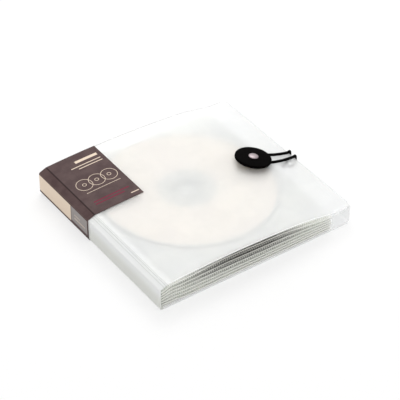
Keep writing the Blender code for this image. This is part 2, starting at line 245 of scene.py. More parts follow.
def rounded(points, radii):
    """A line through the points, its corners rounded by the radius given for each, or 0 for none."""
    line = [points[0]]
    for i in range(1, len(points) - 1):
        if radii[i] > 0:
            line += fillet(points[i - 1], points[i], points[i + 1], radii[i])
        else:
            line.append(points[i])
    return line + [points[-1]]


def flat_point(x, z):
    return Vector((x, 0.0, z))


def case_line():
    """The outside of the sheet from the cover's free edge, over the spine, to the wall's top."""
    steps = 90
    flat = case_width - shoulder_run
    cover = [case_width - flat * i / steps for i in range(steps + 1)]
    points = [flat_point(x, cover_top(x)) for x in cover]
    radii = [0.0] * len(points)
    points += [
        flat_point(0.0, spine_top),
        flat_point(0.0, plate_low),
        flat_point(case_width, plate_low),
        flat_point(case_width, wall_top),
    ]
    radii += [upper_crease_radius, spine_foot_radius, wall_foot_radius, 0.0]
    return rounded(points, radii)


class Line:
    """The folded line measured along its length, with the way out of the case at each point."""

    def __init__(self, points):
        self.spots = np.array([(p.x, p.z) for p in points])
        steps = np.diff(self.spots, axis=0)
        lengths = np.linalg.norm(steps, axis=1)
        self.travel = np.concatenate([[0.0], np.cumsum(lengths)])
        out = np.stack([steps[:, 1], -steps[:, 0]], axis=1) / lengths[:, None]
        both = np.concatenate([out[:1], out[:-1] + out[1:], out[-1:]])
        self.outward = both / np.linalg.norm(both, axis=1)[:, None]

    def spot(self, u):
        return np.array([np.interp(u, self.travel, self.spots[:, k]) for k in (0, 1)])

    def out(self, u):
        way = np.array([np.interp(u, self.travel, self.outward[:, k]) for k in (0, 1)])
        return way / np.linalg.norm(way)

    def nearest(self, x, z):
        """How far along the line the point nearest to x, z lies."""
        away = np.linalg.norm(self.spots - np.array([x, z]), axis=1)
        return float(self.travel[away.argmin()])


line = Line(case_line())
u_score = line.nearest(shoulder_run, shoulder_top)
u_crease = line.nearest(0.0, spine_top)
u_seam = u_crease + seam_below_crease
u_foot = line.nearest(spine_foot_radius, plate_low)
u_spine_low = line.nearest(0.0, plate_low + spine_foot_radius)
u_wall_foot = line.nearest(case_width - wall_foot_radius, plate_low)
u_end = float(line.travel[-1])


def score_places():
    """How far along the line each pressed line lies."""
    bevel = Vector((shoulder_run, shoulder_top - spine_top)).length
    places = []
    for x in score_lines:
        if x < shoulder_run:
            places.append(u_score + (shoulder_run - x) / shoulder_run * bevel)
        else:
            places.append(u_score - (x - shoulder_run))
    return places


u_scores = score_places()


def pressed(u):
    """Depth of the pressed lines at a distance along the line."""
    depth = 0.0
    for place in u_scores:
        share = min(abs(u - place) / score_half_width, 1.0)
        depth = max(depth, score_depth * (1 - share**2) ** 2)
    return depth


def stations(first, last, coarse=0.0025, fine=0.00012):
    """Distances along the line, close together at the folds, the pressed lines and the corners."""
    places = {first, last}
    count = math.ceil((last - first) / coarse)
    places |= {first + (last - first) * i / count for i in range(count + 1)}
    for low, high in (
        (u_score - 0.0012, u_foot + 0.0004),
        (u_wall_foot - 0.0002, u_wall_foot + 0.0036),
        (0.0, cover_corner_radius),
    ):
        low, high = max(low, first), min(high, last)
        count = max(math.ceil((high - low) / fine), 0) if high > low else 0
        places |= {low + (high - low) * i / count for i in range(count + 1)} if count else set()
    ordered = sorted(places)
    return [u for i, u in enumerate(ordered) if i == 0 or u - ordered[i - 1] > fine / 3]


# Mesh makers


def make_object(name, mesh):
    item = bpy.data.objects.new(name, mesh)
    bpy.context.scene.collection.objects.link(item)
    return item


def settle(item):
    """The object's mesh as its modifiers leave it, with the modifiers gone."""
    graph = bpy.context.evaluated_depsgraph_get()
    finished = bpy.data.meshes.new_from_object(item.evaluated_get(graph))
    item.modifiers.clear()
    item.data = finished
    return item


def soften_rims(item, width):
    bevel = item.modifiers.new("rounded_rims", "BEVEL")
    bevel.width = width
    bevel.segments = 2
    bevel.limit_method = "ANGLE"
    bevel.angle_limit = math.radians(50)
    return settle(item)


def smooth(item, angle=32):
    item.data.shade_smooth()
    item.data.set_sharp_from_angle(angle=math.radians(angle))
    return item


def mesh_with_map(name, verts, faces, spots):
    """A mesh whose UV map holds a flat place, in metres, for each vertex."""
    mesh = bpy.data.meshes.new(name)
    mesh.from_pydata(verts, [], faces)
    layer = mesh.uv_layers.new(name="flat_place")
    for loop in mesh.loops:
        layer.data[loop.index].uv = spots[loop.vertex_index]
    return mesh


def two_sided(columns, row):
    """Faces of a thin closed layer. Its points stand in columns of one row count, first those of one
    face and then those of the other, and its rim joins the two."""
    size = columns * row
    faces = []
    for i in range(columns - 1):
        for a in range(i * row, i * row + row - 1):
            quad = (a, a + row, a + row + 1, a + 1)
            faces += [quad, tuple(k + size for k in quad[::-1])]
    rim = list(range(row))
    rim += [i * row + row - 1 for i in range(1, columns)]
    rim += [(columns - 1) * row + j for j in range(row - 2, -1, -1)]
    rim += [i * row for i in range(columns - 2, 0, -1)]
    return faces + [(a, b, b + size, a + size) for a, b in zip(rim, rim[1:] + rim[:1])]


def folded_sheet(name, first, last, outer, inner, span, dent=None):
    """A bent sheet along part of the case's line. outer and inner are its faces' distances out of
    the line, and span gives the Y limits at a distance along it."""
    verts, spots = [], []
    places = stations(first, last)
    across = sheet_strips
    for side in (outer, inner):
        for u in places:
            off = side - (dent(u) if dent else 0.0)
            x, z = line.spot(u) + line.out(u) * off
            low, high = span(u)
            for j in range(across + 1):
                y = low + (high - low) * j / across
                verts.append(at(x, y, z))
                spots.append((u, y))
    faces = two_sided(len(places), across + 1)
    return make_object(name, mesh_with_map(name, verts, faces, spots))


def face_out(item):
    """Turns every face outwards, on a closed mesh."""
    shape = bmesh.new()
    shape.from_mesh(item.data)
    bmesh.ops.recalc_face_normals(shape, faces=shape.faces)
    shape.to_mesh(item.data)
    shape.free()
    return item


def turned(name, outline, place, steps=96):
    """A turned piece. outline holds radius and height points, with the axis at radius 0."""
    verts, faces, rings = [], [], []
    for radius, height in outline:
        count = steps if radius > 1e-7 else 1
        ring = []
        for i in range(count):
            angle = 2 * math.pi * i / steps
            ring.append(len(verts))
            verts.append(place @ Vector((radius * math.cos(angle), radius * math.sin(angle), height)))
        rings.append(ring)
    for a, b in zip(rings, rings[1:] + rings[:1]):
        if len(a) == 1 and len(b) == 1:
            continue
        for i in range(steps):
            j = (i + 1) % steps
            quad = [a[i % len(a)], a[j % len(a)], b[j % len(b)], b[i % len(b)]]
            faces.append(tuple(dict.fromkeys(quad)))
    mesh = bpy.data.meshes.new(name)
    mesh.from_pydata(verts, [], faces)
    return smooth(face_out(make_object(name, mesh)), 40)


def turned_outline(corners):
    """Radius and height points of a turned outline, from (radius, height, rounding) corners."""
    points = [flat_point(r, z) for r, z, _ in corners]
    outline = []
    for i, (r, z, rounding) in enumerate(corners):
        if rounding > 0:
            arc = fillet(points[i - 1], points[i], points[(i + 1) % len(points)], rounding, 6)
            outline += [(p.x, p.z) for p in arc]
        else:
            outline.append((r, z))
    return outline


def tube(name, points, radius, sides=16):
    """A round cord along points, with closed ends and its length and turn as its UV map."""
    verts, spots, faces = [], [], []
    side = Vector((0, 1, 0))
    travelled = 0.0
    for i, point in enumerate(points):
        ahead = points[min(i + 1, len(points) - 1)] - points[max(i - 1, 0)]
        ahead.normalize()
        side = (side - ahead * side.dot(ahead)).normalized()
        other = ahead.cross(side)
        travelled += (point - points[i - 1]).length if i else 0.0
        for k in range(sides + 1):
            turn = 2 * math.pi * k / sides
            verts.append(point + (side * math.cos(turn) + other * math.sin(turn)) * radius)
            spots.append((travelled, radius * turn))
    row = sides + 1
    for i in range(len(points) - 1):
        for k in range(sides):
            a = i * row + k
            faces.append((a, a + 1, a + row + 1, a + row))
    for i, end in ((0, points[0]), (len(points) - 1, points[-1])):
        verts.append(end)
        spots.append(spots[i * row])
        for k in range(sides):
            faces.append((len(verts) - 1, i * row + k, i * row + k + 1))
    item = make_object(name, mesh_with_map(name, verts, faces, spots))
    shape = bmesh.new()
    shape.from_mesh(item.data)
    bmesh.ops.remove_doubles(shape, verts=shape.verts, dist=1e-7)
    bmesh.ops.recalc_face_normals(shape, faces=shape.faces)
    shape.to_mesh(item.data)
    shape.free()
    return smooth(item, 50)


# Shader helpers


def srgb(red, green, blue):
    """A colour read off a screen, 0 to 255, as the linear colour that a shader takes."""
    return tuple(
        c / 255 / 12.92 if c <= 10 else ((c / 255 + 0.055) / 1.055) ** 2.4 for c in (red, green, blue)
    ) + (1.0,)


def add_node(tree, kind, sockets=None, **settings):
    """A node with its settings, and with its inputs set or linked. An input is named or counted."""
    made = tree.nodes.new(kind)
    for name, value in settings.items():
        setattr(made, name, value)
    for name, value in (sockets or {}).items():
        if isinstance(value, bpy.types.NodeSocket):
            tree.links.new(value, made.inputs[name])
        else:
            made.inputs[name].default_value = value
    return made


def sum_of(tree, operation, *values):
    """The output of a Math node."""
    return add_node(tree, "ShaderNodeMath", dict(enumerate(values)), operation=operation).outputs[0]


def add_vector(tree, operation, *values):
    """The outputs of a Vector Math node."""
    return add_node(tree, "ShaderNodeVectorMath", dict(enumerate(values)), operation=operation).outputs


def mapped(tree, place, scale):
    """A place stretched by a scale on each axis."""
    return add_node(tree, "ShaderNodeMapping", {"Vector": place, "Scale": scale}).outputs[0]


def times(tree, *values):
    return sum_of(tree, "MULTIPLY", *values)


def larger(tree, *values):
    return sum_of(tree, "MAXIMUM", *values)


def away_from(tree, value, middle):
    """How far a value lies from a middle one, on either side."""
    return sum_of(tree, "ABSOLUTE", sum_of(tree, "SUBTRACT", value, middle))


def axes(tree, place):
    return add_node(tree, "ShaderNodeSeparateXYZ", {0: place}).outputs


def blend_colour(tree, share, first, second):
    """The colour output of a Mix node."""
    sockets = {0: share, 6: first, 7: second}
    return add_node(tree, "ShaderNodeMix", sockets, data_type="RGBA").outputs[2]


def ranged(tree, value, low, high, new_low=0.0, new_high=1.0, kind="SMOOTHSTEP"):
    """The value, carried from one range onto another."""
    sockets = {0: value, 1: low, 2: high, 3: new_low, 4: new_high}
    made = add_node(tree, "ShaderNodeMapRange", sockets, interpolation_type=kind)
    return made.outputs[0]


def new_group(name, inputs, outputs):
    """A shader node group with named inputs and outputs, and its two end nodes."""
    group = bpy.data.node_groups.new(name, "ShaderNodeTree")
    for label, kind, default in inputs:
        made = group.interface.new_socket(name=label, in_out="INPUT", socket_type=kind)
        if default is not None:
            made.default_value = default
    for label, kind in outputs:
        group.interface.new_socket(name=label, in_out="OUTPUT", socket_type=kind)
    return group, group.nodes.new("NodeGroupInput").outputs, group.nodes.new("NodeGroupOutput").inputs


NUMBER, VECTOR = "NodeSocketFloat", "NodeSocketVector"


def surface_grain_group():
    """Uneven tone, fine relief and faint rubbed patches, which every finish uses in its own measure."""
    group, given, result = new_group(
        "surface_grain",
        [("Place", VECTOR, None), ("Patch Size", NUMBER, 0.02), ("Grain Size", NUMBER, 0.0006)],
        [("Patches", NUMBER), ("Grain", NUMBER), ("Scuffs", NUMBER)],
    )

    def noise(size, detail, stretch=None):
        place = given["Place"]
        if stretch:
            place = mapped(group, place, stretch)
        scale = sum_of(group, "DIVIDE", 1.0, size)
        sockets = {"Vector": place, "Scale": scale, "Detail": detail, "Roughness": 0.55}
        return add_node(group, "ShaderNodeTexNoise", sockets).outputs[0]

    patches = noise(given["Patch Size"], 3.0)
    group.links.new(ranged(group, patches, 0.32, 0.68), result["Patches"])
    group.links.new(noise(given["Grain Size"], 2.0), result["Grain"])
    scuffs = noise(given["Patch Size"], 8.0, (1.0, 5.0, 1.0))
    group.links.new(ranged(group, scuffs, 0.56, 0.70), result["Scuffs"])
    return group


def ink_group(name, *sizes):
    """A group for one printed figure, which takes its middle and its sizes and gives its ink."""
    inputs = [("Place", VECTOR, None)] + [(label, NUMBER, 1.0) for label in ("Along", "Up", *sizes)]
    return new_group(name, inputs, [("Ink", NUMBER)])


def printed_bar_group():
    """A plain printed bar: 1 inside it, 0 outside, with the slight softness of ink."""
    group, given, result = ink_group("printed_bar", "Half Length", "Half Height")
    parts = axes(group, given["Place"])
    inks = []
    for axis, middle, half in ((0, "Along", "Half Length"), (1, "Up", "Half Height")):
        over = sum_of(group, "SUBTRACT", away_from(group, parts[axis], given[middle]), given[half])
        inks.append(ranged(group, over, ink_softness, -ink_softness))
    group.links.new(times(group, *inks), result["Ink"])
    return group


def printed_ring_group():
    """A thin printed circle: 1 on its line, 0 elsewhere."""
    group, given, result = ink_group("printed_ring", "Radius", "Line")
    middle = add_node(group, "ShaderNodeCombineXYZ", {0: given["Along"], 1: given["Up"]}).outputs[0]
    flat = add_vector(group, "MULTIPLY", given["Place"], (1.0, 1.0, 0.0))["Vector"]
    away = add_vector(group, "DISTANCE", flat, middle)["Value"]
    over = sum_of(group, "SUBTRACT", away_from(group, away, given["Radius"]), given["Line"])
    group.links.new(ranged(group, over, ink_softness, -ink_softness), result["Ink"])
    return group


def new_material(name):
    """A material's tree and its Principled shader."""
    material = bpy.data.materials.new(name)
    material.use_nodes = True
    return material, material.node_tree, material.node_tree.nodes["Principled BSDF"].inputs


def object_place(tree):
    return add_node(tree, "ShaderNodeTexCoord").outputs["Object"]


def flat_place(tree):
    """Place on the flat sheet, in metres."""
    return add_node(tree, "ShaderNodeUVMap", uv_map="flat_place").outputs["UV"]


def group_node(tree, group, sockets):
    """A shader group placed in a material, with its inputs set or linked."""
    return add_node(tree, "ShaderNodeGroup", sockets, node_tree=group).outputs


surface_grain = surface_grain_group()
printed_bar = printed_bar_group()
printed_ring = printed_ring_group()


def grain_at(tree, place, patch, fine):
    sockets = {"Place": place, "Patch Size": patch, "Grain Size": fine}
    return group_node(tree, surface_grain, sockets)


def relief(tree, height, distance, strength=1.0):
    """The normal of a relief that is this deep, in metres."""
    sockets = {"Height": height, "Distance": distance, "Strength": strength}
    return add_node(tree, "ShaderNodeBump", sockets).outputs[0]


def dress(tree, shader, colour, marks, smoothest, roughest, depth, strength):
    """Colour, a roughness that rises where the surface is rubbed, and the grain's relief."""
    tree.links.new(colour, shader["Base Color"])
    tree.links.new(ranged(tree, marks["Scuffs"], 0.0, 1.0, smoothest, roughest), shader["Roughness"])
    tree.links.new(relief(tree, marks["Grain"], depth, strength), shader["Normal"])


# Finishes


def frosted_sheet():
    """Frosted polypropylene: milky and half see-through, denser where it is folded or pressed. Painted
    shade greys its spine face and pressed lines, and the fold at the spine's top is white, partly
    stress-whitening and partly a painted highlight.
    """
    material, tree, shader = new_material("frosted_polypropylene")
    place = flat_place(tree)
    marks = grain_at(tree, place, 0.030, 0.00035)
    along, up = axes(tree, place)[:2]
    from_middle = away_from(tree, up, centre_y)
    cut_edge = ranged(tree, from_middle, *(centre_y - inset for inset in cut_rim))
    cut_edge = larger(tree, cut_edge, ranged(tree, along, *cut_rim))
    cut_edge = larger(tree, cut_edge, ranged(tree, up, *tail_rim))
    # Painted shade: the pressed lines are greyed in the colour.
    groove_painted_shade = 0.0
    for u in u_scores:
        groove_painted_shade = larger(tree, groove_painted_shade, ranged(tree, away_from(tree, along, u), 0.0004, 0.0001))
    # The fold at the spine's top is white: partly stress-whitening, partly a painted highlight.
    crease_whitening_and_highlight = ranged(tree, away_from(tree, along, u_crease), 0.0010, 0.0002)
    colour = blend_colour(tree, marks["Patches"], srgb(250, 251, 252), srgb(252, 253, 252))
    # Painted shade: the spine face is a little greyer than the cover.
    before_foot = ranged(tree, along, u_foot, u_foot + 0.0010, 1.0, 0.0)
    spine_painted_shade = times(tree, ranged(tree, along, u_crease + 0.0020, u_crease + 0.0090), before_foot)
    colour = blend_colour(tree, spine_painted_shade, colour, srgb(241, 242, 238))
    colour = blend_colour(tree, times(tree, groove_painted_shade, 0.6), colour, srgb(212, 214, 211))
    colour = blend_colour(tree, times(tree, crease_whitening_and_highlight, 0.7), colour, srgb(255, 255, 255))
    dress(tree, shader, colour, marks, 0.42, 0.52, 0.000012, 0.5)
    above_foot = ranged(tree, along, u_foot + 0.0002, u_foot + 0.0020, 1.0, 0.0)
    folded = times(tree, ranged(tree, along, u_score - 0.0060, u_score), above_foot)
    haze = ranged(tree, marks["Patches"], 0.0, 1.0, 0.40, 0.42)
    dense = add_node(tree, "ShaderNodeMix", {0: folded, 2: haze, 3: 0.90}).outputs[0]
    dense = larger(tree, dense, times(tree, cut_edge, 0.95))
    tree.links.new(dense, shader["Alpha"])
    shader["Transmission Weight"].default_value = 0.25
    shader["IOR"].default_value = 1.30
    return material


def weld_marks(tree, place):
    """Masks of a leaf's tail weld, its very edge, the painted shade that darkens the welds at mid-length
    and on the upper leaves, and the painted light that lifts them toward the fore edge.
    """
    parts = axes(tree, place)
    edge = case_corner.y + leaf_tail_margin
    weld = ranged(tree, parts[1], edge + rib_reach, edge + rib_reach + weld_fade, 1.0, 0.0)
    rim = ranged(tree, parts[1], edge + 0.0001, edge + 0.0002, 1.0, 0.0)
    along = sum_of(tree, "SUBTRACT", parts[0], case_corner.x)
    # Painted shade: darker at mid-length and on the upper leaves, where the gap under the cover lies in
    # shade. Painted light: lighter toward the fore-edge end, against the shade between leaves.
    clear = times(tree, ranged(tree, along, *painted_shade_from), ranged(tree, along, *painted_shade_to, 1.0, 0.0))
    height = ranged(tree, parts[2], *painted_shade_heights)
    return weld, rim, times(tree, clear, height), ranged(tree, along, *painted_light_from)


def leaf_rim_with_painted_shade(tree, clear):
    """Colour of a leaf's cut edge, greyer by painted shade at mid-length on the upper leaves."""
    return blend_colour(tree, clear, srgb(240, 241, 236), srgb(198, 197, 191))


def pocket_film():
    """Clear pocket film with a faint haze and soft creases, and painted shade and painted light on its
    tail weld.
    """
    material, tree, shader = new_material("pocket_film")
    place = object_place(tree)
    marks = grain_at(tree, place, 0.012, 0.0008)
    colour = blend_colour(tree, marks["Patches"], srgb(246, 248, 245), srgb(252, 252, 250))
    tree.links.new(ranged(tree, marks["Scuffs"], 0.0, 1.0, 0.10, 0.22), shader["Roughness"])
    tree.links.new(relief(tree, marks["Patches"], 0.0002, 0.35), shader["Normal"])
    weld, rim, clear, painted_light_at_fore_end = weld_marks(tree, place)
    # Painted shade greys the weld and its rim at mid-length on the upper leaves; painted light whitens
    # the rim toward the fore edge.
    rim_painted_shade_colour = blend_colour(tree, painted_light_at_fore_end, leaf_rim_with_painted_shade(tree, clear), srgb(253, 253, 250))
    colour = blend_colour(tree, times(tree, weld, clear), colour, srgb(118, 117, 112))
    tree.links.new(blend_colour(tree, rim, colour, rim_painted_shade_colour), shader["Base Color"])
    cover = ranged(tree, weld, 0.0, 1.0, 0.14, 0.24)
    tree.links.new(larger(tree, cover, rim), shader["Alpha"])
    return material


def fibre_divider():
    """White non-woven divider: loose fibres with a slight relief, painted light toward the open head
    edge, and painted shade and painted light on its tail weld.
    """
    material, tree, shader = new_material("fibre_divider")
    place = object_place(tree)
    marks = grain_at(tree, place, 0.004, 0.00045)
    sockets = {"Vector": place, "Scale": 1400.0}
    fibres = add_node(tree, "ShaderNodeTexVoronoi", sockets, feature="DISTANCE_TO_EDGE")
    threads = ranged(tree, fibres.outputs["Distance"], 0.0, 0.12, 1.0, 0.0)
    colour = blend_colour(tree, marks["Patches"], srgb(200, 202, 200), srgb(212, 213, 210))
    # Painted light: the divider is lighter toward the open head edge, where light gets in.
    to_head = sum_of(tree, "SUBTRACT", case_corner.y + case_height, axes(tree, place)[1])
    painted_light_at_head = ranged(tree, to_head, *head_painted_light, 0.85, 0.0, kind="LINEAR")
    colour = blend_colour(tree, painted_light_at_head, colour, srgb(244, 244, 242))
    colour = blend_colour(tree, times(tree, threads, 0.5), colour, srgb(252, 252, 252))
    weld, rim, clear, painted_light_at_fore_end = weld_marks(tree, place)
    # Painted shade darkens the weld and its rim at mid-length on the upper leaves; painted light whitens
    # the weld toward the fore edge.
    weld_painted_shade_and_light = blend_colour(tree, clear, srgb(250, 251, 246), srgb(84, 83, 79))
    weld_painted_shade_and_light = blend_colour(tree, painted_light_at_fore_end, weld_painted_shade_and_light, srgb(254, 254, 252))
    colour = blend_colour(tree, weld, colour, weld_painted_shade_and_light)
    rim_painted_shade_colour = leaf_rim_with_painted_shade(tree, clear)
    tree.links.new(blend_colour(tree, rim, colour, rim_painted_shade_colour), shader["Base Color"])
    tree.links.new(ranged(tree, threads, 0.0, 1.0, 0.9, 0.75), shader["Roughness"])
    height = sum_of(tree, "ADD", threads, marks["Grain"])
    tree.links.new(relief(tree, height, 0.00004, 0.5), shader["Normal"])
    return material


def disc_face():
    """The disc: a cream printed face round a grey hub, with a grey edge and fine tracks."""
    material, tree, shader = new_material("disc_face")
    place = object_place(tree)
    marks = grain_at(tree, place, 0.020, 0.0006)
    flat = add_vector(tree, "MULTIPLY", place, (1.0, 1.0, 0.0))["Vector"]
    radius = add_vector(tree, "DISTANCE", flat, (disc_centre.x, disc_centre.y, 0.0))["Value"]
    cream = blend_colour(tree, marks["Patches"], srgb(233, 221, 208), srgb(236, 225, 213))
    hub = blend_colour(tree, ranged(tree, radius, *hub_core), srgb(152, 154, 150), srgb(190, 191, 185))
    colour = blend_colour(tree, ranged(tree, radius, *hub_edge), hub, cream)
    colour = blend_colour(tree, ranged(tree, radius, *print_edge), colour, srgb(188, 190, 187))
    tree.links.new(colour, shader["Base Color"])
    gloss = ranged(tree, radius, *hub_gloss, 0.18, 0.42)
    rubbed = times(tree, marks["Scuffs"], 0.08)
    tree.links.new(sum_of(tree, "ADD", gloss, rubbed), shader["Roughness"])
    tracks = sum_of(tree, "SINE", times(tree, radius, 2 * math.pi / track_pitch))
    tree.links.new(relief(tree, tracks, 0.00001, 0.2), shader["Normal"])
    return material


def print_items():
    """The band's print in mm, all plain bars and circles: (kind, along, up, size, other, ink)."""
    cream, red, grey = srgb(228, 210, 190), srgb(116, 32, 56), srgb(150, 144, 142)
    fold = 1000 * u_score
    head = 1000 * (case_height - band_head_margin)
    spine_middle = 1000 * (u_crease + u_spine_low) / 2
    items = []

    def bar(from_fold, from_head, along, tall, ink):
        items.append(("bar", fold - from_fold, head - from_head, along / 2, tall / 2, ink))

    def ring(from_fold, from_head, radius, line_width, ink):
        items.append(("ring", fold - from_fold, head - from_head, radius, line_width / 2, ink))

    def on_spine(offset, from_head, tall, along, ink):
        items.append(("bar", spine_middle + offset, head - from_head, tall / 2, along / 2, ink))

    bar(26.0, 8.0, 17.0, 2.4, cream)
    bar(23.2, 12.6, 22.6, 0.7, cream)
    bar(25.4, 15.2, 18.2, 0.7, cream)
    for row, along in enumerate((27.0, 22.0)):
        bar(6.0 + along / 2, 49.5 + 2.6 * row, along, 1.1, red)
    for place, radius in ((10.5, 5.6), (20.0, 5.6), (29.5, 5.6)):
        ring(place, 31.0, radius, 0.35, cream)
        ring(place, 31.0, 1.3, 0.35, cream)
    bar(20.0, 39.5, 26.0, 0.35, cream)
    bar(33.5, 56.0, 6.0, 0.8, cream)
    on_spine(0.0, 19.6, 12.6, 39.2, cream)
    on_spine(-0.5, 49.4, 11.6, 19.2, grey)
    on_spine(1.5, 50.0, 0.5, 13.0, cream)
    on_spine(-1.2, 47.0, 0.4, 7.2, cream)
    return items


def printed_card():
    """Dark printed card: uncoated fibre with plain bars and rings, a pressed line darkened by painted
    shade, and paler along the spine's top crease, partly worn fibres and partly a painted highlight.
    """
    material, tree, shader = new_material("printed_card")
    place = flat_place(tree)
    scaled = mapped(tree, place, (1000.0, 1000.0, 1.0))
    marks = grain_at(tree, place, 0.008, 0.00025)
    colour = blend_colour(tree, marks["Patches"], srgb(76, 58, 58), srgb(88, 70, 69))
    for kind, along, up, size, other, ink in print_items():
        if kind == "bar":
            group, sizes = printed_bar, {"Half Length": size, "Half Height": other}
        else:
            group, sizes = printed_ring, {"Radius": size, "Line": other}
        mask = group_node(tree, group, {"Place": scaled, "Along": along, "Up": up, **sizes})["Ink"]
        colour = blend_colour(tree, mask, colour, ink)
    along = axes(tree, place)[0]
    # Painted shade darkens the pressed line at the cover's fold.
    score_painted_shade = ranged(tree, away_from(tree, along, u_score), 0.0007, 0.0002, 0.0, 0.9)
    colour = blend_colour(tree, score_painted_shade, colour, srgb(34, 18, 16))
    # Paler fibres along the spine's top crease: partly worn fibres, partly a painted highlight.
    fold = ranged(tree, away_from(tree, along, u_crease), 0.0004, 0.0)
    fibres = ranged(tree, marks["Grain"], 0.4, 0.65, 0.0, 0.4)
    colour = blend_colour(tree, times(tree, fold, fibres), colour, srgb(150, 132, 124))
    dress(tree, shader, colour, marks, 0.52, 0.66, 0.00002, 0.4)
    shader["Specular IOR Level"].default_value = 0.12
    return material


def moulded_black():
    """Moulded black plastic with a fine texture and faint dust."""
    material, tree, shader = new_material("black_plastic")
    marks = grain_at(tree, object_place(tree), 0.004, 0.0003)
    dust = times(tree, marks["Scuffs"], 0.06)
    colour = blend_colour(tree, marks["Patches"], srgb(3, 2, 2), srgb(6, 5, 5))
    colour = blend_colour(tree, dust, colour, srgb(28, 27, 26))
    dress(tree, shader, colour, marks, 0.50, 0.64, 0.00002, 0.5)
    shader["Specular IOR Level"].default_value = 0.008
    return material


def braided_cord():
    """Braided elastic: crossing ribs that run round the cord at a slant."""
    material, tree, shader = new_material("black_elastic")
    place = flat_place(tree)
    marks = grain_at(tree, place, 0.003, 0.0001)
    parts = axes(tree, place)
    turn = times(tree, parts[1], 6.0 / cord_radius)
    run = times(tree, parts[0], 2 * math.pi / braid_pitch)
    rise, fall = (sum_of(tree, "SINE", sum_of(tree, kind, run, turn)) for kind in ("ADD", "SUBTRACT"))
    weave = ranged(tree, larger(tree, rise, fall), 0.0, 1.0)
    colour = blend_colour(tree, weave, srgb(2, 2, 2), srgb(9, 8, 8))
    colour = blend_colour(tree, times(tree, marks["Patches"], 0.3), colour, srgb(7, 6, 7))
    tree.links.new(colour, shader["Base Color"])
    tree.links.new(ranged(tree, weave, 0.0, 1.0, 0.85, 0.65), shader["Roughness"])
    tree.links.new(relief(tree, weave, 0.00012, 0.7), shader["Normal"])
    shader["Specular IOR Level"].default_value = 0.03
    return material


def rivet_metal():
    """Nickel-plated rivet, brushed across, with fine scratches."""
    material, tree, shader = new_material("rivet_metal")
    marks = grain_at(tree, mapped(tree, object_place(tree), (9.0, 1.0, 1.0)), 0.004, 0.0011)
    colour = blend_colour(tree, marks["Grain"], srgb(112, 103, 106), srgb(176, 165, 168))
    tree.links.new(colour, shader["Base Color"])
    tree.links.new(ranged(tree, marks["Grain"], 0.3, 0.7, 0.34, 0.52), shader["Roughness"])
    tree.links.new(relief(tree, marks["Grain"], 0.00003, 0.5), shader["Normal"])
    shader["Metallic"].default_value = 1.0
    return material


def weld_rib_finish():
    """Frosted white ribs pressed into the welds, greyed by painted shade at mid-length on the upper
    leaves.
    """
    material, tree, shader = new_material("pressed_ribs")
    place = object_place(tree)
    marks = grain_at(tree, place, 0.006, 0.0003)
    clear = weld_marks(tree, place)[2]
    colour = blend_colour(tree, marks["Patches"], srgb(240, 241, 235), srgb(250, 250, 246))
    # Painted shade greys the ribs at mid-length on the upper leaves.
    colour = blend_colour(tree, clear, colour, srgb(208, 207, 201))
    dress(tree, shader, colour, marks, 0.45, 0.60, 0.00001, 0.5)
    return material


def clear_strip():
    """The plain binding strip and washer: the same plastic, clearer and smoother."""
    material, tree, shader = new_material("clear_strip")
    marks = grain_at(tree, object_place(tree), 0.010, 0.0005)
    colour = blend_colour(tree, marks["Patches"], srgb(240, 241, 238), srgb(248, 248, 246))
    dress(tree, shader, colour, marks, 0.30, 0.42, 0.00001, 0.4)
    return material


# Pieces


def finish_piece(item, material):
    item.data.materials.clear()
    item.data.materials.append(material)
    return item


def cover_span(u):
    """The cover's Y limits, drawn in where its free corners are round."""
    past = cover_corner_radius - min(max(u, 0.0), cover_corner_radius)
    inset = cover_corner_radius - math.sqrt(cover_corner_radius**2 - past**2)
    return inset, case_height - inset


def case_span(u):
    """The spine's, back's and wall's Y limits. The wall is a little shorter than the rest."""
    inset = wall_end_inset if u > u_wall_foot - 0.0001 else 0.0
    return inset, case_height - inset


def band_span(u):
    high = case_height - band_head_margin
    return high - band_length, high


def bend_over_upper_crease(item):
    """Bakes the piece's place into its mesh; no bend over the crease between spine and cover is made
    here.
    """
    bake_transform(item)


def bend_over_lower_crease(item):
    """Bakes the piece's place into its mesh, as for the upper crease; no bend over the crease between
    back and spine is made here.
    """
    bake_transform(item)


def add_case(material):
    cover = folded_sheet("cover_sheet", 0.0, u_seam, 0.0, -sheet, cover_span, pressed)
    back = folded_sheet("back_sheet", u_seam, u_end, 0.0, -sheet, case_span)
    for item in (cover, back):
        face_out(item)
        if item is back:
            pierce(item)
        soften_rims(item, rim_rounding)
        smooth(item)
        finish_piece(item, material)
    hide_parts("front_cover")
    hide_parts("back_cover", "spine")
    bend_over_upper_crease(cover)
    bend_over_lower_crease(back)


def pierce(item):
    """The two holes in the wall that the elastic goes through."""
    for side in (-1, 1):
        y = loop_centre_y + side * hole_spacing / 2
        across = Matrix.Translation(at(case_width, y, hole_height)) @ Matrix.Rotation(math.pi / 2, 4, "Y")
        radius = cord_radius + fit_gap
        reach = 3 * sheet
        cutter = turned("hole", [(0, -reach), (radius, -reach), (radius, reach), (0, reach)], across, 32)
        cut = item.modifiers.new("hole", "BOOLEAN")
        cut.operation = "DIFFERENCE"
        cut.object = cutter
        settle(item)
        bpy.data.objects.remove(cutter, do_unlink=True)


def add_band(material):
    """The band goes on round the case as one strip. Its two pieces meet on the spine."""
    u_front = u_score - (band_reach - shoulder_run)
    u_back = u_foot + (band_reach - spine_foot_radius)
    print(f"flat sheet {u_end:.4f} m, flat band {u_back - u_front:.4f} m")
    outer, inner = card_gap + card, card_gap
    front = folded_sheet("band_front_and_spine", u_front, u_seam, outer, inner, band_span)
    back = folded_sheet("band_spine_and_back", u_seam, u_back, outer, inner, band_span)
    for item in (front, back):
        smooth(face_out(item))
        finish_piece(item, material)
    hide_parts("band_front")
    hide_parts("band_back", "band_spine")
    bend_over_upper_crease(front)
    bend_over_lower_crease(back)


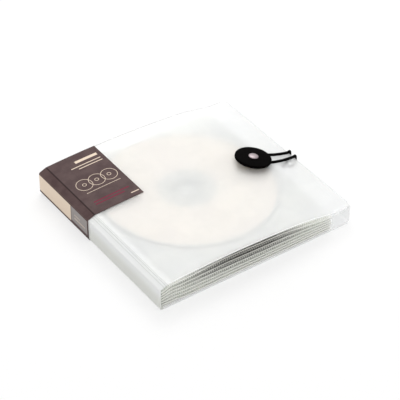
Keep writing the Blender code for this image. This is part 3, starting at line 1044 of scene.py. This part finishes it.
def button_place():
    """The button's own frame: on the cover's upper face, square to it."""
    tilt = Matrix.Rotation(-math.atan(cover_slope(button_x)), 4, "Y")
    return Matrix.Translation(at(button_x, centre_y, cover_top(button_x))) @ tilt


def add_button(black, metal):
    place = button_place()
    low = cord_diameter + 2 * fit_gap
    top = low + button_thickness
    bore = rivet_shank_radius + fit_gap
    corners = [
        (bore, fit_gap, 0.0),
        (neck_radius, fit_gap, 0.0002),
        (neck_radius, low, 0.0004),
        (button_radius, low, 0.0006),
        (button_radius, top, 0.0007),
        (bore, top, 0.0),
    ]
    button = turned("button_disc", turned_outline(corners), place)
    finish_piece(button, black)
    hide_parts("button")

    seat = top + fit_gap
    foot_top = -sheet - 2 * fit_gap - washer_thickness
    corners = [
        (0.0, foot_top - rivet_clench, 0.0),
        (rivet_clench_radius, foot_top - rivet_clench, 0.0002),
        (rivet_clench_radius, foot_top, 0.0),
        (rivet_shank_radius, foot_top, 0.0),
        (rivet_shank_radius, seat, 0.0),
    ]
    outline = turned_outline(corners)
    dome_steps = 12
    for i in range(dome_steps + 1):
        turn = math.pi / 2 * i / dome_steps
        radius = rivet_head_radius * math.cos(turn) if i < dome_steps else 0.0
        outline.append((radius, seat + rivet_head_height * math.sin(turn) ** 0.8))
    rivet = finish_piece(turned("rivet_head", outline, place, 64), metal)
    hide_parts("rivet")
    for item in (button, rivet):
        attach(item, "front_cover")


def elastic_route():
    """Points of the elastic, from one end at the knot round the button's neck to the other."""
    rise = fit_gap + cord_radius
    outside = case_width + rise
    knot = Vector((case_width - knot_inset, loop_centre_y, hole_height))
    wrap = neck_radius + fit_gap + cord_radius + loop_slack

    def strand(side):
        y = loop_centre_y + side * hole_spacing / 2
        mid_wall = Vector((case_width - sheet, y, hole_height))
        inward = (knot - mid_wall).normalized()
        over = cover_top(case_width) + rise
        return [
            knot - inward * (knot_radius + fit_gap),
            knot - inward * (knot_radius + fit_gap + cord_diameter),
            Vector((case_width - sheet - cord_radius, y, hole_height)),
            Vector((case_width, y, hole_height)),
            Vector((case_width + 0.6 * cord_stand_off, y, hole_height + 0.3 * cord_radius)),
            Vector((case_width + cord_stand_off, y, hole_height + 1.4 * cord_radius)),
            Vector((outside + 0.1 * cord_radius, y, hole_height + 4 * cord_radius)),
            Vector((outside, y, fore_edge_top - cord_radius)),
            Vector((case_width + 0.85 * rise, y, over - 0.45 * rise)),
            Vector((case_width + 0.35 * rise, y, over + 0.02 * rise)),
            Vector((case_width - cord_diameter, y, cover_top(case_width - cord_diameter) + 1.06 * rise)),
        ]

    ring = []
    for i in range(17):
        angle = math.radians(72 + (288 - 72) * i / 16)
        x = button_x + wrap * math.cos(angle)
        y = centre_y + loop_slack + wrap * math.sin(angle)
        ring.append(Vector((x, y, cover_top(x) + rise)))
    first = strand(1)
    last = strand(-1)[::-1]

    def between(a, b):
        points = []
        for share in (0.25, 0.5, 0.75):
            spot = a.lerp(b, share)
            spot.z = cover_top(spot.x) + rise * 1.03
            points.append(spot)
        return points

    return first + between(first[-1], ring[0]) + ring + between(ring[-1], last[0]) + last


def smooth_route(points, fine):
    """Points read from a smooth curve through the route's own points."""
    ends = [points[0] * 2 - points[1]] + points + [points[-1] * 2 - points[-2]]
    route = []
    for i in range(1, len(ends) - 2):
        p, q, r, s = ends[i - 1 : i + 3]
        for k in range(fine):
            t = k / fine
            square = (2 * p - 5 * q + 4 * r - s) * t**2
            cube = (3 * q - p - 3 * r + s) * t**3
            route.append(0.5 * (2 * q + (r - p) * t + square + cube))
    return route + [points[-1]]


def add_elastic(material):
    route = [case_corner + p for p in smooth_route(elastic_route(), 6)]
    length = sum((b - a).length for a, b in zip(route, route[1:]))
    print(f"elastic length {length:.4f} m")
    loop = finish_piece(tube("elastic_cord", route, cord_radius + cord_swell), material)
    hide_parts("elastic_loop")
    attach(loop, "back")
    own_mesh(loop)

    middle = at(case_width - knot_inset, loop_centre_y, hole_height)
    turns = []
    for i in range(knot_steps + 1):
        t = 2 * math.pi * i / knot_steps
        spot = (math.sin(t) + 2 * math.sin(2 * t), math.cos(t) - 2 * math.cos(2 * t), -math.sin(3 * t))
        turns.append(middle + Vector(spot) * (knot_radius - knot_strand_radius) / 3)
    knot = tube("elastic_knot_turns", turns, knot_strand_radius, 12)
    finish_piece(knot, material)
    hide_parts("elastic_knot")
    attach(knot, "back")


def ease(share):
    share = min(max(share, 0.0), 1.0)
    return share * share * (3 - 2 * share)


def disc_top(x):
    """Height of the disc's upper face, which slopes down to below the rivet's foot."""
    foot = cover_top(button_x) - sheet - 2 * fit_gap - washer_thickness - rivet_clench
    rim = foot - 2 * fit_gap - film - rivet_clench
    slope = (rim - disc_rim_top) / (button_x - disc_x + disc_radius)
    return disc_rim_top + slope * (x - disc_x + disc_radius)


def top_leaf_low(x):
    depth = film + slot + divider + fit_gap + disc_ring_height + disc_thickness
    straight = disc_top(x) - depth
    root = binding_top - depth - 2 * film
    return root + (straight - root) * ease((x - leaf_root) / (shoulder_x - leaf_root))


def leaf_low(number, x):
    """Underside of a leaf, as in the solids' source."""
    if number == leaf_count:
        return top_leaf_low(x)
    rise = ease((x - leaf_root) / (shoulder_x - leaf_root))
    start = bottom_leaf_root + (bottom_leaf_shoulder - bottom_leaf_root) * rise
    settled = ease((x - shoulder_x) / shoulder_x)
    bottom = start + (plate_low + sheet + fit_gap - start) * settled
    room = (top_leaf_low(x) - bottom) / (leaf_count - 1)
    wave = math.sin(math.pi * (x - leaf_root) / (leaf_end - leaf_root))
    sway = leaf_sway * wave * math.sin(2.1 * number) if number > 1 else 0.0
    return bottom + (number - 1) * room + sway


def lift(number, x, y):
    """How much a leaf's tail edge springs up or down at mid-length. The top two rise to the cover."""
    along = ease((x - shoulder_x) / lift_from_root) * ease((leaf_end - x) / lift_from_end)
    inward = 1 - ease((y - leaf_tail_margin - weld_margin) / lift_depth)
    return tail_lifts[number - 1] * along * inward


def leaf_reach(number):
    return leaf_end - leaf_stagger * ((number * 2) % leaf_count) / 2


def mouth(x):
    """Y of a leaf's open edge, with its half-round thumb notch."""
    aside = min(abs(x - disc_x), notch_radius)
    return case_height - leaf_head_margin - math.sqrt(notch_radius**2 - aside**2)


def opened(number, x, y):
    """How far a leaf's pocket stands open at a point: 0 at its welds, and 1 over the disc."""
    from_root = x - leaf_root - weld_margin
    from_end = leaf_reach(number) - weld_margin - x
    from_weld = max(min(from_root, from_end, y - leaf_tail_margin - weld_margin), 0.0)
    if number < leaf_count:
        return ease(from_weld / pocket_rise)
    from_disc = max(math.hypot(x - disc_x, y - disc_y) - disc_radius - fit_gap, 0.0)
    return ease(from_weld / (from_weld + from_disc)) if from_weld > 0 else 0.0


def leaf_grid(number):
    """X columns across a leaf, and its Y shares from the tail edge to the mouth."""
    reach = leaf_reach(number)
    ends = [leaf_root, leaf_root + weld_margin, reach - weld_margin, reach]
    columns = ends + [ends[1] + (ends[2] - ends[1]) * ease_free(i / 64) for i in range(1, 64)]
    columns += [disc_x - notch_radius * math.cos(math.pi * i / 16) for i in range(17)]
    columns = sorted(columns)
    kept = [x for i, x in enumerate(columns) if i == 0 or x - columns[i - 1] > 0.00005]
    first = weld_margin / (case_height - leaf_head_margin - leaf_tail_margin)
    shares = [0.0, first] + [first + (1 - first) * (i / 40) ** 1.3 for i in range(1, 41)]
    return kept, shares


def ease_free(share):
    """Shares drawn together near both ends."""
    return 0.5 - 0.5 * math.cos(math.pi * share)


def leaf_layer(name, number, low, thickness):
    """One thin layer of a leaf. low gives the height of its underside at a point of the leaf."""
    columns, shares = leaf_grid(number)
    verts = []
    for rise in (thickness, 0.0):
        for x in columns:
            head = mouth(x)
            for share in shares:
                y = leaf_tail_margin + (head - leaf_tail_margin) * share
                verts.append(at(x, y, low(x, y) + rise))
    mesh = bpy.data.meshes.new(name)
    mesh.from_pydata(verts, [], two_sided(len(columns), len(shares)))
    return smooth(face_out(make_object(name, mesh)), 40)


def leaf_undersides(number):
    """Heights of the undersides of a leaf's lower film, divider and upper film."""
    upper_slot = disc_slot if number == leaf_count else slot

    def lower_film(x, y):
        closing = (slot - weld_gap) * (1 - opened(number, x, y))
        return leaf_low(number, x) + lift(number, x, y) + closing

    def between_films(x, y):
        return leaf_low(number, x) + lift(number, x, y) + film + slot

    def upper_film(x, y):
        over = weld_gap + (upper_slot - weld_gap) * opened(number, x, y)
        return between_films(x, y) + divider + over

    return lower_film, between_films, upper_film


def add_leaves(clear, white):
    layers = (("lower_film", film, clear), ("divider", divider, white), ("upper_film", film, clear))
    for number in range(1, leaf_count + 1):
        made = []
        for (label, thickness, material), low in zip(layers, leaf_undersides(number)):
            item = leaf_layer(f"leaf_{number}_{label}", number, low, thickness)
            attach(finish_piece(item, material), "back")
            made.append(item)
        for item in made:
            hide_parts(f"leaf_{number}")


def rib_tree(material):
    """Ribs set at a pitch along a weld's line and turned along it, as one mesh."""
    tree = bpy.data.node_groups.new("weld_ribs", "GeometryNodeTree")
    tree.interface.new_socket(name="Weld Line", in_out="INPUT", socket_type="NodeSocketGeometry")
    for label in ("Pitch", "Width", "Reach", "Height"):
        tree.interface.new_socket(name=label, in_out="INPUT", socket_type="NodeSocketFloat")
    tree.interface.new_socket(name="Ribs", in_out="OUTPUT", socket_type="NodeSocketGeometry")
    given = tree.nodes.new("NodeGroupInput").outputs
    result = tree.nodes.new("NodeGroupOutput").inputs
    line_curve = add_node(tree, "GeometryNodeMeshToCurve", {0: given["Weld Line"]}).outputs[0]
    points = add_node(
        tree, "GeometryNodeCurveToPoints", {"Curve": line_curve, "Length": given["Pitch"]}, mode="LENGTH"
    ).outputs
    size = add_node(
        tree, "ShaderNodeCombineXYZ", {0: given["Height"], 1: given["Reach"], 2: given["Width"]}
    ).outputs[0]
    rib = add_node(tree, "GeometryNodeMeshCube", {"Size": size}).outputs[0]
    placed = add_node(
        tree,
        "GeometryNodeInstanceOnPoints",
        {"Points": points["Points"], "Instance": rib, "Rotation": points["Rotation"]},
    ).outputs[0]
    real = add_node(tree, "GeometryNodeRealizeInstances", {0: placed}).outputs[0]
    dressed = add_node(tree, "GeometryNodeSetMaterial", {"Geometry": real}).outputs[0]
    dressed.node.inputs["Material"].default_value = material
    tree.links.new(dressed, result["Ribs"])
    return tree


def add_ribs(material):
    """The ribs of every leaf's tail weld. They close round the weld, a hair proud of it."""
    verts, edges = [], []
    for number in range(1, leaf_count + 1):
        middle = film + slot + divider / 2
        first, last = leaf_root + weld_margin, leaf_reach(number) - weld_margin
        for i in range(101):
            x = first + (last - first) * i / 100
            y = leaf_tail_margin + rib_reach / 2 + rib_proud
            if i:
                edges.append((len(verts) - 1, len(verts)))
            verts.append(at(x, y, leaf_low(number, x) + middle + lift(number, x, y)))
    mesh = bpy.data.meshes.new("weld_ribs")
    mesh.from_pydata(verts, edges, [])
    item = make_object("weld_ribs", mesh)
    tree = rib_tree(material)
    grown = item.modifiers.new("ribs", "NODES")
    grown.node_group = tree
    sizes = {
        "Pitch": rib_pitch,
        "Width": rib_width,
        "Reach": rib_reach,
        "Height": 2 * film + divider + 2 * weld_gap + 2 * rib_proud,
    }
    for socket in tree.interface.items_tree:
        if socket.name in sizes:
            grown[socket.identifier] = sizes[socket.name]
    settle(item)
    item.data.set_sharp_from_angle(angle=math.radians(30))
    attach(item, "back")


def dress_solids(disc, clear):
    """The solids whose shape is right keep it and take a finish."""
    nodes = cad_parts
    finish_solid(nodes["disc"], disc)
    for name in ("binding_strip", "rivet_washer"):
        finish_solid(nodes[name], clear)


def finish_solid(node, material):
    for slot in node.material_slots:
        slot.material = material


# Stage


def seen_rays(tree):
    """1 for rays that show the background: straight, mirrored or through something clear."""
    rays = add_node(tree, "ShaderNodeLightPath").outputs
    seen = larger(tree, rays["Is Camera Ray"], rays["Is Glossy Ray"])
    return larger(tree, seen, rays["Is Transmission Ray"])


def add_floor():
    mesh = bpy.data.meshes.new("floor")
    corners = [(x * floor_reach, y * floor_reach, 0) for x, y in ((-1, -1), (1, -1), (1, 1), (-1, 1))]
    mesh.from_pydata(corners, [], [(0, 1, 2, 3)])
    floor = make_object("floor", mesh)
    material, tree, shader = new_material("white_paper_floor")
    shader["Roughness"].default_value = 0.9
    shader["Specular IOR Level"].default_value = 0.1
    seen = seen_rays(tree)
    tones = [(tone, tone, tone, 1.0) for tone in (floor_tone, floor_tone_seen)]
    paper = blend_colour(tree, seen, *tones)
    tree.links.new(paper, shader["Base Color"])
    glow = add_node(tree, "ShaderNodeMix", {0: seen, 2: 0.0, 3: floor_glow_seen})
    shader["Emission Color"].default_value = (1.0, 1.0, 1.0, 1.0)
    tree.links.new(glow.outputs[0], shader["Emission Strength"])
    mesh.materials.append(material)


def aimed(name, data, place, target):
    """A lamp or a camera at a place, turned towards a target."""
    item = bpy.data.objects.new(name, data)
    item.location = place
    item.rotation_mode = "QUATERNION"
    item.rotation_quaternion = (target - place).to_track_quat("-Z", "Y")
    bpy.context.scene.collection.objects.link(item)
    return item


def add_lamp():
    """The key lamp, behind the case as the camera sees it, aimed at the middle of the floor."""
    lamp = bpy.data.lights.new("key", "AREA")
    lamp.shape = "RECTANGLE"
    lamp.size, lamp.size_y = lamp_size
    lamp.energy = lamp_power
    lamp.color = (1.0, 0.99, 0.97)
    aimed("key", lamp, Vector(lamp_place), Vector())


def add_world():
    world = bpy.data.worlds.new("studio")
    bpy.context.scene.world = world
    world.use_nodes = True
    tree = world.node_tree
    shade = tree.nodes["Background"]
    seen = seen_rays(tree)
    strength = add_node(tree, "ShaderNodeMix", {0: seen, 2: room_light, 3: 1.0}).outputs[0]
    tree.links.new(strength, shade.inputs["Strength"])
    shade.inputs["Color"].default_value = (1.0, 1.0, 1.0, 1.0)


def add_camera():
    data = bpy.data.cameras.new("camera")
    data.sensor_width = 36.0
    data.lens = lens
    data.clip_start, data.clip_end = 0.05, 20.0
    bpy.context.scene.camera = aimed("camera", data, at(*camera_place), at(*camera_aim))


def main():
    bpy.context.scene.view_settings.view_transform = "Standard"
    allow_light_through_layers()
    add_case(frosted_sheet())
    add_band(printed_card())
    add_button(moulded_black(), rivet_metal())
    add_elastic(braided_cord())
    add_leaves(pocket_film(), fibre_divider())
    add_ribs(weld_rib_finish())
    dress_solids(disc_face(), clear_strip())
    add_floor()
    add_lamp()
    add_world()
    add_camera()


def allow_light_through_layers():
    """Light passes many thin layers here, so its paths may be longer than the usual ones."""
    cycles = bpy.context.scene.cycles
    cycles.max_bounces = 32
    cycles.transmission_bounces = 24
    cycles.diffuse_bounces = 10
    cycles.transparent_max_bounces = 48


main()
